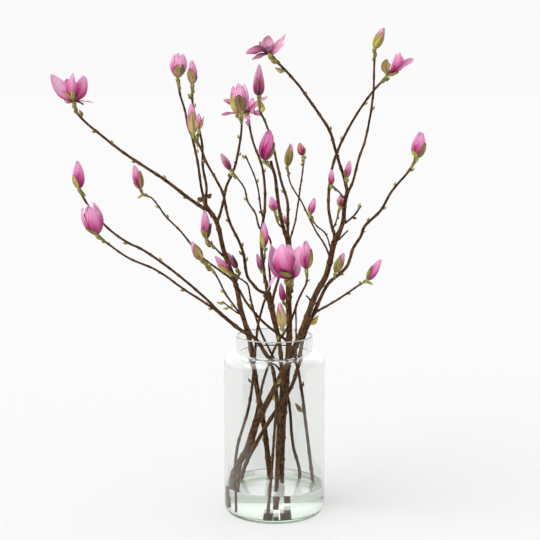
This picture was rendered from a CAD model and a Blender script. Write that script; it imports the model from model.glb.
"""Looks of eleven cut saucer magnolia branches, in bud and first flower, in a clear glass vase.

Everything is in metres, +Z up, +X to the viewer's right and +Y away from the viewer. Routes and
places of blossoms are written in millimetres, as they are driving dimensions.
"""

import logging
import math
import random
from dataclasses import dataclass
from enum import Enum, IntEnum
from typing import Callable, Iterable, Sequence

import bmesh
import bpy
from mathutils import Matrix, Vector, noise

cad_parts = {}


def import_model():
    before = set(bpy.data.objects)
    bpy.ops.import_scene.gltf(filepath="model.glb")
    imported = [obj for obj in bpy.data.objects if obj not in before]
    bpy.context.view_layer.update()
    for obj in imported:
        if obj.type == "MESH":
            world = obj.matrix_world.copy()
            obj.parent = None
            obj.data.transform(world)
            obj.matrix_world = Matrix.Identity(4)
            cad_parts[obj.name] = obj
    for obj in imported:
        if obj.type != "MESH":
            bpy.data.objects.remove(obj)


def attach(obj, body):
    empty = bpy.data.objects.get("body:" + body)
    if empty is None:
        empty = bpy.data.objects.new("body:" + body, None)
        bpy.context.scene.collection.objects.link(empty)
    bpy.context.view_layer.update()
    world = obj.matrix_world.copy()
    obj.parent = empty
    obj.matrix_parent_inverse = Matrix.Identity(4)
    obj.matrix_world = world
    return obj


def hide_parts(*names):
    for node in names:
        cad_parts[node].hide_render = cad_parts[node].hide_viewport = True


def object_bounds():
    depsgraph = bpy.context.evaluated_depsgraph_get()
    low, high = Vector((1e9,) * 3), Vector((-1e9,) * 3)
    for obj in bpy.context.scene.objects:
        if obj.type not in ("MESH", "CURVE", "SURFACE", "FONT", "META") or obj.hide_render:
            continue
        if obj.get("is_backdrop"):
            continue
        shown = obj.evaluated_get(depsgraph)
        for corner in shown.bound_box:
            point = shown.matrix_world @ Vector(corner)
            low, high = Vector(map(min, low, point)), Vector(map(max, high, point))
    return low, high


log = logging.getLogger("magnolia")

MM = 0.001
BODY = "root"
Point = tuple[float, float, float]
Colour = tuple[float, float, float]
Socket = bpy.types.NodeSocket


# ------------------------------------------------------------------ small tools


def vec(point: Point) -> Vector:
    """A point in millimetres as a vector in metres."""
    return Vector(point) * MM


def mix(a: float, b: float, share: float) -> float:
    """The value a share of the way from a to b."""
    return a + (b - a) * share


def clamp(value: float) -> float:
    """The value held between 0 and 1."""
    return min(1.0, max(0.0, value))


def ease(low: float, high: float, value: float) -> float:
    """A smooth rise from 0 at low to 1 at high."""
    t = clamp((value - low) / (high - low))
    return t * t * (3 - 2 * t)


def linear(colour: str | Colour) -> Colour:
    """A colour as linear light.

    Args:
        colour: a screen colour as #rrggbb, or a colour that is linear light already.

    Returns:
        Red, green and blue, each 0 to 1.
    """
    if not isinstance(colour, str):
        return colour
    parts = [int(colour[i:i + 2], 16) / 255 for i in (1, 3, 5)]
    return tuple(c / 12.92 if c <= 0.04045 else ((c + 0.055) / 1.055) ** 2.4 for c in parts)


def side_vectors(along: Vector) -> tuple[Vector, Vector]:
    """The directions to the viewer's left and towards the viewer, square to an axis.

    Args:
        along: the unit direction of growth.

    Returns:
        Left and front, both of unit length.
    """
    left = along.cross(Vector((0, 1, 0)))
    left = left.normalized() if left.length > 1e-6 else Vector((-1, 0, 0))
    front = left.cross(along).normalized()
    return left, -front if front.y > 0 else front


def outward(along: Vector, degrees: float) -> Vector:
    """The direction that leaves an axis at a turn round it, 0 to the left and 90 to the front."""
    left, front = side_vectors(along)
    turn = math.radians(degrees)
    return left * math.cos(turn) + front * math.sin(turn)


def show(name: str, data: bpy.types.ID) -> bpy.types.Object:
    """A new object of the scene."""
    made = bpy.data.objects.new(name, data)
    bpy.context.scene.collection.objects.link(made)
    return made


class Route:
    """A smooth way through hand-chosen points, as the middle of a limb follows it."""

    SAMPLES = 24

    def __init__(self, points: Sequence[Point]) -> None:
        """Samples the centripetal curve through the points.

        Args:
            points: the points in millimetres.
        """
        knots = [vec(p) for p in points]
        knots = [knots[0] * 2 - knots[1], *knots, knots[-1] * 2 - knots[-2]]
        self.line: list[Vector] = []
        for i in range(1, len(knots) - 2):
            self.line += [self._between(knots[i - 1:i + 3], k / self.SAMPLES)
                          for k in range(self.SAMPLES)]
        self.line.append(knots[-2])
        self.reach = [0.0]
        for a, b in zip(self.line, self.line[1:]):
            self.reach.append(self.reach[-1] + (b - a).length)

    @staticmethod
    def _between(p: Sequence[Vector], share: float) -> Vector:
        """A point between the middle two of four knots."""
        t = [0.0]
        for a, b in zip(p, p[1:]):
            t.append(t[-1] + max((b - a).length, 1e-9) ** 0.5)
        x = mix(t[1], t[2], share)

        def blend(a: Vector, b: Vector, low: float, high: float) -> Vector:
            return a * ((high - x) / (high - low)) + b * ((x - low) / (high - low))

        first = [blend(p[i], p[i + 1], t[i], t[i + 1]) for i in range(3)]
        second = [blend(first[i], first[i + 1], t[i], t[i + 2]) for i in range(2)]
        return blend(second[0], second[1], t[1], t[2])

    @property
    def length(self) -> float:
        """The length of the way in metres."""
        return self.reach[-1]

    def at(self, distance: float) -> tuple[Vector, Vector]:
        """The place and the direction at a distance along the way."""
        distance = min(max(distance, 0.0), self.length)
        low, high = 0, len(self.reach) - 1
        while high - low > 1:
            middle = (low + high) // 2
            if self.reach[middle] <= distance:
                low = middle
            else:
                high = middle
        span = max(self.reach[high] - self.reach[low], 1e-9)
        place = self.line[low].lerp(self.line[high], (distance - self.reach[low]) / span)
        before, after = max(low - 2, 0), min(high + 2, len(self.line) - 1)
        return place, (self.line[after] - self.line[before]).normalized()


# ------------------------------------------------------------------ choices


class Side(IntEnum):
    """The side of a stem that something grows on, in degrees round it."""

    LEFT = 0
    FRONT = 90
    RIGHT = 180


class Felt(Enum):
    """Colours of a bract's felt: its ground and its darker lines."""

    YELLOW_GREEN = ("#cbbd64", "#776c2a")
    OLIVE = ("#a08e4e", "#4c4120")
    TAN = ("#ccb27a", "#755c31")
    BROWN = ("#b09468", "#49371b")
    DARK = ("#5c4b32", "#1e170f")


class Blush(Enum):
    """Colours of a tepal's outside: at its base, its middle and its tip."""

    MAGENTA = ("#6a0534", "#cf2787", "#f287ca")
    PINK = ("#6d0c36", "#dc3f98", "#f8b2dc")
    ROSE = ("#551029", "#b24274", "#e09cc0")
    DUSK = ("#3c0618", "#8f2a55", "#d678a6")
    PALE = ("#8a1450", "#ee5fb0", "#ffcdee")
    RED = ("#5a1420", "#a83446", "#cc6f66")


LEFT, FRONT, RIGHT = Side
YELLOW_GREEN, OLIVE, TAN, BROWN, DARK = Felt
MAGENTA, PINK, ROSE, DUSK, PALE, RED = Blush


# ------------------------------------------------------------------ finishes


class Recipe:
    """The nodes of one material or node group."""

    def __init__(self, tree: bpy.types.NodeTree) -> None:
        """Starts with an empty tree."""
        self.tree = tree
        tree.nodes.clear()

    def node(self, kind: str, inputs: dict | None = None, **settings: object) -> bpy.types.Node:
        """A new node.

        Args:
            kind: its type, without the word that the types of shader nodes start with.
            inputs: sockets or values for its inputs, by their names or numbers.
            settings: attributes of the node.

        Returns:
            The node.
        """
        made = self.tree.nodes.new(kind if kind.startswith("NodeGroup") else f"ShaderNode{kind}")
        for key, value in settings.items():
            setattr(made, key, value)
        for key, value in (inputs or {}).items():
            socket = made.inputs[key]
            if isinstance(value, Socket):
                self.tree.links.new(value, socket)
            else:
                socket.default_value = (*linear(value), 1) if socket.type == "RGBA" else value
        return made

    def attribute(self, name: str) -> Socket:
        """A mesh attribute's vector."""
        return self.node("Attribute", attribute_name=name).outputs["Vector"]

    def place(self) -> Socket:
        """The place on the object."""
        return self.node("TexCoord").outputs["Object"]

    def split(self, vector: Socket) -> tuple[Socket, ...]:
        """A vector's three parts."""
        return tuple(self.node("SeparateXYZ", {0: vector}).outputs)

    def math(self, operation: str, a: object, b: object = 0.0) -> Socket:
        """The result of a sum of two values or sockets."""
        return self.node("Math", {0: a, 1: b}, operation=operation).outputs[0]

    def times(self, a: object, b: object) -> Socket:
        """Two values multiplied."""
        return self.math("MULTIPLY", a, b)

    def vectors(self, operation: str, *inputs: object, output: str = "Vector") -> Socket:
        """The result of a sum of vectors."""
        return self.node("VectorMath", dict(enumerate(inputs)), operation=operation).outputs[output]

    def noise(self, place: Socket, scale: float, detail: float = 2.0,
              roughness: float = 0.5) -> Socket:
        """A cloudy value from 0 to 1."""
        return self.node("TexNoise", {
            "Vector": place, "Scale": scale, "Detail": detail, "Roughness": roughness}).outputs[0]

    def ramp(self, value: Socket, *stops: tuple[float, str | Colour]) -> Socket:
        """A colour that follows a value through stops."""
        made = self.node("ValToRGB", {0: value})
        elements = made.color_ramp.elements
        while len(elements) < len(stops):
            elements.new(0.5)
        for element, (place, colour) in zip(elements, stops):
            element.position = place
            element.color = (*linear(colour), 1)
        return made.outputs["Color"]

    def coats(self, ground: object, *coats: tuple[object, object]) -> Socket:
        """A ground colour under coats, each given as its share and its colour."""
        for share, colour in coats:
            ground = self.node("Mix", {0: share, 6: ground, 7: colour},
                               data_type="RGBA").outputs[2]
        return ground

    def spread(self, value: object, low: float, high: float,
               to_low: object = 0.0, to_high: object = 1.0) -> Socket:
        """A value stretched smoothly from one range to another."""
        return self.node("MapRange", {
            "Value": value, "From Min": low, "From Max": high, "To Min": to_low,
            "To Max": to_high}, interpolation_type="SMOOTHSTEP").outputs["Result"]

    def effect(self, effect: "Effect", *inputs: object) -> tuple[Socket, ...]:
        """What an effect gives for a place, a scale and its further inputs."""
        return tuple(self.node("Group", dict(enumerate(inputs)), node_tree=effect.tree()).outputs)

    def surface(self, colour: Socket, height: Socket, relief: tuple[float, float],
                inputs: dict) -> Socket:
        """A shaded surface with a small relief, given as its strength and its depth."""
        strength, depth = relief
        bump = self.node("Bump", {"Strength": strength, "Distance": depth, "Height": height})
        return self.node("BsdfPrincipled", {
            "Base Color": colour, "Normal": bump.outputs[0], **inputs}).outputs[0]


@dataclass(frozen=True)
class Effect:
    """A node group, made once, that more than one finish uses.

    It works on a place that is stretched by a scale. fill gives its outputs from its nodes, that
    place and its further inputs, which sizes names.
    """

    name: str
    outputs: tuple[str, ...]
    fill: Callable[..., Sequence[Socket]]
    sizes: tuple[str, ...] = ()

    def tree(self) -> bpy.types.NodeTree:
        """The node group."""
        if self.name in bpy.data.node_groups:
            return bpy.data.node_groups[self.name]
        tree = bpy.data.node_groups.new(self.name, "ShaderNodeTree")
        kinds = {"Place": "Vector", "Scale": "Vector"} | dict.fromkeys(self.sizes, "Float")
        for label, kind in kinds.items():
            tree.interface.new_socket(label, in_out="INPUT", socket_type=f"NodeSocket{kind}")
        for label in self.outputs:
            tree.interface.new_socket(label, in_out="OUTPUT", socket_type="NodeSocketFloat")
        recipe = Recipe(tree)
        place, scale, *sizes = list(recipe.node("NodeGroupInput").outputs)[:len(kinds)]
        results = self.fill(recipe, recipe.vectors("MULTIPLY", place, scale), *sizes)
        recipe.node("NodeGroupOutput", dict(enumerate(results)))
        return tree


def streaks_and_patches(recipe: Recipe, place: Socket) -> tuple[Socket, Socket]:
    """A fine and a broad pattern."""
    return (recipe.spread(recipe.noise(place, 1.0, 3.0, 0.55), 0.3, 0.7),
            recipe.spread(recipe.noise(place, 0.21), 0.35, 0.65))


def raised_dots(recipe: Recipe, place: Socket, size: Socket) -> tuple[Socket]:
    """Small round dots."""
    cells = recipe.node("TexVoronoi", {"Vector": place, "Scale": 1.0}).outputs["Distance"]
    return (recipe.spread(recipe.math("DIVIDE", cells, size), 1.0, 0.4),)


# Streaks and patches run with the growth: veins in a tepal, grain in bark. Dots are its pores.
GROWTH = Effect("growth streaks", ("Streaks", "Patches"), streaks_and_patches)
DOTS = Effect("raised dots", ("Dots",), raised_dots, ("Size",))


@dataclass(frozen=True)
class Finish:
    """A surface finish, made once and then shared."""

    name: str

    def material(self) -> bpy.types.Material:
        """The finish as a material."""
        made = bpy.data.materials.get(self.name)
        if made is None:
            made = bpy.data.materials.new(self.name)
            made.use_nodes = True
            recipe = Recipe(made.node_tree)
            recipe.node("OutputMaterial", {"Surface": self.shade(recipe), **self.deepen(recipe)})
        return made

    def shade(self, recipe: Recipe) -> Socket:
        """Builds the nodes and gives the shader's output."""
        raise NotImplementedError

    def deepen(self, recipe: Recipe) -> dict[str, Socket]:
        """What fills the solid, where a finish has that."""
        return {}


@dataclass(frozen=True)
class TepalFinish(Finish):
    """Satin tepal: coloured from base to tip, with veins and pale edges."""

    blush: Blush = PINK
    inside: bool = False
    bloom: str = "#fddcf0"
    pale_edge: str = "#fbdcee"

    def shade(self, recipe: Recipe) -> Socket:
        """Colour follows the way from base (0) to tip (1) and the way across (-1 to 1)."""
        blade = recipe.attribute("blade")
        across, along, _ = recipe.split(blade)
        streaks, patches = recipe.effect(GROWTH, blade, (9.0, 1.3, 31.0))
        shifted = recipe.math(
            "ADD", along, recipe.times(recipe.math("SUBTRACT", streaks, 0.5), 0.26))
        base, middle, tip = (linear(c) for c in self.blush.value)
        if self.inside:
            pale = tuple(mix(a, b, 0.5) for a, b in zip(tip, linear("#f3d2e8")))
            stops = [(0.0, base), (0.16, middle), (0.34, tip), (0.65, pale), (1.0, tip)]
            vein, vein_share = middle, 0.28
        else:
            stops = [(0.0, base), (0.4, middle), (1.0, tip)]
            vein, vein_share = base, 0.62
        aside = recipe.math("ABSOLUTE", across)
        band = recipe.times(recipe.spread(aside, 0.62, 0.0),
                            recipe.spread(along, 0.2, 0.62, 0.0, 0.26))
        low_edge = recipe.times(recipe.spread(aside, 0.5, 1.0),
                                recipe.spread(along, 0.75, 0.35, 0.0, 0.8))
        high_edge = recipe.times(recipe.spread(aside, 0.8, 1.0),
                                 recipe.spread(along, 0.35, 0.75, 0.0, 0.7))
        veins = recipe.times(recipe.spread(streaks, 0.5, 0.95),
                             recipe.spread(along, 1.0, 0.4, 0.15, vein_share))
        colour = recipe.coats(
            recipe.ramp(shifted, *stops), (band, self.bloom), (low_edge, vein),
            (high_edge, self.pale_edge), (veins, vein),
            (recipe.spread(patches, 0.4, 1.0, 0.0, 0.1), self.bloom))
        return recipe.surface(colour, streaks, (0.45, 0.0005), {
            "Roughness": recipe.spread(streaks, 0.0, 1.0, 0.4, 0.55),
            "Subsurface Weight": 0.08, "Subsurface Radius": (0.004, 0.0018, 0.0025),
            "Subsurface Scale": 0.3, "Specular IOR Level": 0.2})


@dataclass(frozen=True)
class FeltFinish(Finish):
    """Felted bract or scale: olive to brown, with a ribbed ground and short hairs."""

    felt: Felt = OLIVE

    def shade(self, recipe: Recipe) -> Socket:
        """Lines run from base to tip, and hairs stand on them."""
        blade = recipe.attribute("blade")
        across, along, _ = recipe.split(blade)
        aside = recipe.math("ABSOLUTE", across)
        streaks, patches = recipe.effect(GROWTH, blade, (5.0, 1.6, 23.0))
        hairs = recipe.noise(recipe.place(), 1900.0)
        light, dark = self.felt.value
        colour = recipe.coats(
            light, (recipe.spread(streaks, 0.4, 0.95, 0.0, 0.75), dark),
            (recipe.spread(patches, 0.4, 0.9, 0.0, 0.6), dark),
            (recipe.spread(aside, 0.0, 0.08, 0.3, 0.0), dark),
            (recipe.spread(aside, 0.84, 1.0, 0.0, 0.85), dark),
            (recipe.spread(along, 0.86, 1.0, 0.0, 0.7), dark),
            (recipe.spread(hairs, 0.5, 0.75, 0.0, 0.3), "#d8cfa4"))
        height = recipe.math("ADD", recipe.times(streaks, 1.2), hairs)
        return recipe.surface(colour, height, (0.6, 0.0005), {
            "Roughness": recipe.spread(hairs, 0.3, 0.7, 0.72, 0.95),
            "Sheen Weight": 0.12, "Sheen Roughness": 0.45, "Specular IOR Level": 0.1})


@dataclass(frozen=True)
class BarkFinish(Finish):
    """Bark: brown and streaked along the limb, with ring scars, pores and an olive tip."""

    def shade(self, recipe: Recipe) -> Socket:
        """Reads the place on the straightened limb, and how old and scarred the bark is."""
        place = recipe.attribute("bark_place")
        age, scar, green = recipe.split(recipe.attribute("bark_state"))
        grain, _ = recipe.effect(GROWTH, place, (720.0, 720.0, 120.0))
        rough, patches = recipe.effect(GROWTH, place, (300.0, 300.0, 110.0))
        pores, = recipe.effect(DOTS, place, (430.0, 430.0, 260.0), 0.3)
        young = recipe.ramp(grain, (0.0, "#170d07"), (0.5, "#442816"), (1.0, "#7d5537"))
        old = recipe.ramp(grain, (0.0, "#1d1209"), (0.45, "#4f311d"), (1.0, "#8a6241"))
        fresh = recipe.ramp(rough, (0.0, "#5b5a2c"), (0.6, "#8d8848"), (1.0, "#b3a468"))
        colour = recipe.coats(
            young, (age, old), (recipe.spread(patches, 0.45, 0.95, 0.0, 0.35), "#7f5a39"),
            (recipe.spread(rough, 0.6, 0.1, 0.0, 0.6), "#180e07"),
            (recipe.times(pores, 0.45), "#98774f"), (recipe.times(scar, 0.5), "#90724a"),
            (green, fresh))
        height = recipe.math("ADD", recipe.math("ADD", grain, rough), pores)
        return recipe.surface(colour, height, (0.6, 0.0006), {
            "Roughness": recipe.spread(grain, 0.0, 1.0, 0.9, 0.62), "Specular IOR Level": 0.12})


@dataclass(frozen=True)
class CutWoodFinish(Finish):
    """The sawn foot of a stem: pale wood with a green ring under the bark."""

    ring_width: float = 0.0008

    def shade(self, recipe: Recipe) -> Socket:
        """Rings follow the distance from the middle of the stem."""
        place = recipe.attribute("bark_place")
        reach = recipe.vectors(
            "LENGTH", recipe.vectors("MULTIPLY", place, (1.0, 1.0, 0.0)), output="Value")
        fleck = recipe.noise(place, 900.0)
        rings = recipe.math("PINGPONG", recipe.math(
            "ADD", reach, recipe.times(fleck, 0.0006)), self.ring_width)
        colour = recipe.ramp(
            recipe.math("DIVIDE", rings, self.ring_width), (0.0, "#8f8c4c"), (1.0, "#c2b782"))
        return recipe.surface(colour, fleck, (0.4, 0.0003), {"Roughness": 0.8})


@dataclass(frozen=True)
class FreshFinish(Finish):
    """Tender green or cream tissue: collars, receptacles, stigmas and stamens."""

    light: str = "#c9cf83"
    dark: str = "#8c9443"

    def shade(self, recipe: Recipe) -> Socket:
        """Mottled between two tones, and waxy."""
        mottle = recipe.noise(recipe.place(), 520.0, 3.0)
        colour = recipe.ramp(mottle, (0.35, self.dark), (0.65, self.light))
        return recipe.surface(colour, mottle, (0.4, 0.0003), {
            "Roughness": recipe.spread(mottle, 0.3, 0.7, 0.5, 0.7),
            "Subsurface Weight": 0.1, "Subsurface Radius": (0.002, 0.002, 0.001)})


@dataclass(frozen=True)
class ClearFinish(Finish):
    """Clear glass or water, which lets soft light through to what stands in it.

    edges are the heights, in metres, under and over which it is green, as thick glass is, and
    foot_reach is how far from the upright axis the foot's green band starts and is full. tint is
    its colour, edge_tint that of its foot and rim, foot_green that of the lip it stands on and
    floor_tint that of the floor inside; at rim and lip, rim_clear of it lets light through.
    shade_colour is left of the lamps' light, and the body_ fields tint what fills the solid.
    """

    ior: float = 1.5
    tint: Colour = (0.928, 0.934, 0.924)
    edge_tint: Colour = (0.67, 0.72, 0.65)
    foot_green: Colour = (0.33, 0.47, 0.3)
    floor_tint: Colour = (0.975, 0.98, 0.972)
    rim_clear: float = 0.6
    edges: tuple[float, float] | None = None
    foot_reach: tuple[float, float] = (0.068, 0.078)
    shade_colour: Colour = (0.99, 0.993, 0.99)
    body_colour: Colour = (0.5, 0.82, 0.6)
    body_density: float = 2.4
    ripple: float = 0.01

    def _edged(self, recipe: Recipe, place: Socket) -> tuple[Socket, Socket]:
        """The colour and the clearness of a vase, with its foot, floor and rim apart."""
        x, y, height = recipe.split(place)
        low, high = self.edges
        start, full = self.foot_reach
        reach = recipe.vectors(
            "LENGTH", recipe.node("CombineXYZ", {0: x, 1: y}).outputs[0], output="Value")
        outer = recipe.spread(reach, start, full)
        floor = recipe.times(recipe.spread(height, 0.014, 0.011),
                             recipe.spread(reach, full, start))
        foot = recipe.times(recipe.spread(height, low, 0.004), outer)
        lip = recipe.times(recipe.spread(height, 0.007, 0.003), outer)
        rim = recipe.spread(height, high, high + 0.001)
        colour = recipe.coats(
            self.tint, (floor, self.floor_tint), (recipe.math("MAXIMUM", foot, rim), self.edge_tint),
            (lip, self.foot_green))
        return colour, recipe.spread(
            recipe.math("MAXIMUM", lip, rim), 0.0, 1.0, 1.0, self.rim_clear)

    def shade(self, recipe: Recipe) -> Socket:
        """A smooth dielectric with a faint unevenness of its surface."""
        place = recipe.place()
        colour, clearness = self._edged(recipe, place) if self.edges else (self.tint, 1.0)
        chosen = recipe.surface(colour, recipe.noise(place, 26.0, 1.0), (self.ripple, 0.01), {
            "Roughness": 0.0, "IOR": self.ior, "Transmission Weight": clearness})
        open_to_lamps = recipe.node("BsdfTransparent", {"Color": self.shade_colour}).outputs[0]
        path = recipe.node("LightPath").outputs
        for soft_light in ("Is Diffuse Ray", "Is Shadow Ray"):
            chosen = recipe.node(
                "MixShader", {0: path[soft_light], 1: chosen, 2: open_to_lamps}).outputs[0]
        return chosen

    def deepen(self, recipe: Recipe) -> dict[str, Socket]:
        """Long ways through the body turn it faintly green."""
        return {"Volume": recipe.node("VolumeAbsorption", {
            "Color": self.body_colour, "Density": self.body_density}).outputs[0]}


@dataclass(frozen=True)
class PaperWhiteFinish(Finish):
    """The plain pale floor, which ends in front of the vase for what the glass mirrors."""

    white: Colour = (0.93, 0.93, 0.93)
    dark: Colour = (0.08, 0.08, 0.08)

    def shade(self, recipe: Recipe) -> Socket:
        """A flat matt white, dark in front where it is only seen in a mirror."""
        path = recipe.node("LightPath").outputs
        front = recipe.spread(recipe.split(recipe.place())[1], -0.25, -0.5)
        mirror = recipe.spread(path["Glossy Depth"], 0.0, 1.0)
        direct = recipe.math("ADD", path["Is Camera Ray"], path["Diffuse Depth"])
        mirrored = recipe.times(recipe.times(front, mirror), recipe.spread(direct, 1.0, 0.0))
        return recipe.node("BsdfDiffuse", {
            "Color": recipe.coats(self.white, (mirrored, self.dark))}).outputs[0]


BARK = BarkFinish("magnolia bark")
CUT_WOOD = CutWoodFinish("sawn magnolia wood")
COLLAR = FreshFinish("collar green")
RECEPTACLE = FreshFinish("receptacle olive", "#a8a458", "#6f7034")
STIGMA = FreshFinish("stigma", "#b4767c", "#7a2f48")
STAMEN = FreshFinish("stamen", "#d7a3ba", "#8a2f55")
GLASS = ClearFinish("vase glass", edges=(0.032, 0.3425))
WATER = ClearFinish("vase water", ior=1.33, tint=(0.995, 0.998, 0.996),
                    shade_colour=(0.99, 0.995, 0.99), body_colour=(0.6, 0.85, 0.75),
                    body_density=0.5)
FLOOR = PaperWhiteFinish("floor white")


def felted(felt: Felt) -> FeltFinish:
    """The finish of a felt."""
    return FeltFinish(f"felt {felt.name.lower()}", felt)


# ------------------------------------------------------------------ pieces


class Piece:
    """One mesh under construction, which ends as an object that rides on the body."""

    def __init__(self, name: str, finishes: Sequence[Finish]) -> None:
        """Starts an empty mesh.

        Args:
            name: the object's name.
            finishes: the finishes of its material slots, in order.
        """
        self.name = name
        self.finishes = list(finishes)
        self.bm = bmesh.new()

    def layer(self, name: str) -> bmesh.types.BMLayerItem:
        """The mesh's vector attribute of that name, made when it is first asked for."""
        layers = self.bm.verts.layers.float_vector
        return layers.get(name) or layers.new(name)

    def finish_index(self, finish: Finish) -> int:
        """The material slot of a finish, added when it is new."""
        if finish not in self.finishes:
            self.finishes.append(finish)
        return self.finishes.index(finish)

    def sheet(self, across: int, along: int, place: Callable[[float, float], Vector],
              heart: Callable[[float], Vector], seed: float, slot: int = 0) -> None:
        """A thin blade, made from a flat grid and laid where it grows.

        Args:
            across: faces across the blade.
            along: faces from its base to its tip.
            place: gives the place of a point from its way across (-1 to 1) and along (0 to 1).
            heart: a point on its inner side at a way along, which tells which way it faces.
            seed: a number that sets its pattern apart.
            slot: its material slot.
        """
        layer = self.layer("blade")
        made = bmesh.ops.create_grid(self.bm, x_segments=across, y_segments=along, size=0.5)
        facing = 0.0
        for vert in made["verts"]:
            u, v = vert.co.x * 2, vert.co.y + 0.5
            vert[layer] = (u, v, seed)
            vert.co = place(u, v)
        faces = list({face for vert in made["verts"] for face in vert.link_faces})
        for face in faces:
            face.normal_update()
            v = sum(vert[layer][1] for vert in face.verts) / len(face.verts)
            facing += face.normal.dot(face.calc_center_median() - heart(v))
            face.material_index = slot
            face.smooth = True
        if facing < 0:
            bmesh.ops.reverse_faces(self.bm, faces=faces)

    def ball(self, place: Callable[[Vector], Vector], seed: float, slot: int,
             rounds: int = 10, rings: int = 8) -> None:
        """A closed round form, made from a unit sphere.

        Args:
            place: gives the place of a point of the unit sphere.
            seed: a number that sets its pattern apart.
            slot: its material slot.
            rounds: faces round it.
            rings: faces from pole to pole.
        """
        layer = self.layer("blade")
        made = bmesh.ops.create_uvsphere(self.bm, u_segments=rounds, v_segments=rings, radius=1)
        faces = list({face for vert in made["verts"] for face in vert.link_faces})
        for vert in made["verts"]:
            turn = math.atan2(vert.co.y, vert.co.x) / math.pi
            vert[layer] = (turn, (vert.co.z + 1) / 2, seed)
            vert.co = place(vert.co.copy())
        for face in faces:
            face.material_index = slot
            face.smooth = True
        bmesh.ops.recalc_face_normals(self.bm, faces=faces)

    def spindle(self, base: Vector, tip: Vector, width: float, seed: float, slot: int,
                bend: Vector | None = None, rounds: int = 10, rings: int = 8,
                fullness: float = 0.72) -> None:
        """A bud-shaped form from a base to a tip.

        Args:
            base: where it starts.
            tip: where it ends.
            width: its greatest width.
            seed: a number that sets its pattern apart.
            slot: its material slot.
            bend: how far its middle is moved aside.
            rounds: faces round it.
            rings: faces along it.
            fullness: where it is widest: less is nearer to the tip.
        """
        along = (tip - base).normalized()
        left, front = side_vectors(along)

        def place(unit: Vector) -> Vector:
            way = (unit.z + 1) / 2
            turn = math.atan2(unit.y, unit.x)
            reach = 0.0 if abs(unit.z) > 0.9999 else bud_outline(way, fullness) * width / 2
            middle = base.lerp(tip, way)
            if bend is not None:
                middle += bend * (4 * way * (1 - way))
            return middle + (left * math.cos(turn) + front * math.sin(turn)) * reach

        self.ball(place, seed, slot, rounds, rings)

    def done(self, modifiers: Callable[[bpy.types.Object], None] | None = None,
             replaces: Sequence[str] = ()) -> bpy.types.Object:
        """Turns the mesh into an object of the scene.

        Args:
            modifiers: adds the modifiers that finish it.
            replaces: the CAD nodes that it stands for.

        Returns:
            The object.
        """
        mesh = bpy.data.meshes.new(self.name)
        self.bm.to_mesh(mesh)
        self.bm.free()
        made = show(self.name, mesh)
        for finish in self.finishes:
            mesh.materials.append(finish.material())
        if modifiers:
            modifiers(made)
        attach(made, BODY)
        if replaces:
            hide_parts(*replaces)
        log.info("%s: %d faces", self.name, len(mesh.polygons))
        return made


def bud_outline(way: float, fullness: float = 0.72) -> float:
    """Half width of a bud as a share of its greatest, at a way from its base to its tip."""
    return max(math.sin(math.pi * clamp(way) ** fullness), 0.0) ** 0.8


def thicken(thickness: float, inner_slot: int, levels: int = 0) -> Callable:
    """A modifier that gives sheets a wall, with another finish on its inner side.

    Args:
        thickness: the wall in metres.
        inner_slot: how many material slots further the inner side's finish is.
        levels: levels of smoothing after it.

    Returns:
        A function that adds the modifiers to an object.
    """
    def add(piece: bpy.types.Object) -> None:
        wall = piece.modifiers.new("wall", "SOLIDIFY")
        wall.thickness = thickness
        wall.offset = -1
        wall.material_offset = inner_slot
        wall.use_even_offset = False
        if levels:
            smooth = piece.modifiers.new("smooth", "SUBSURF")
            smooth.levels = smooth.render_levels = levels
    return add


# ------------------------------------------------------------------ vase and water


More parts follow.
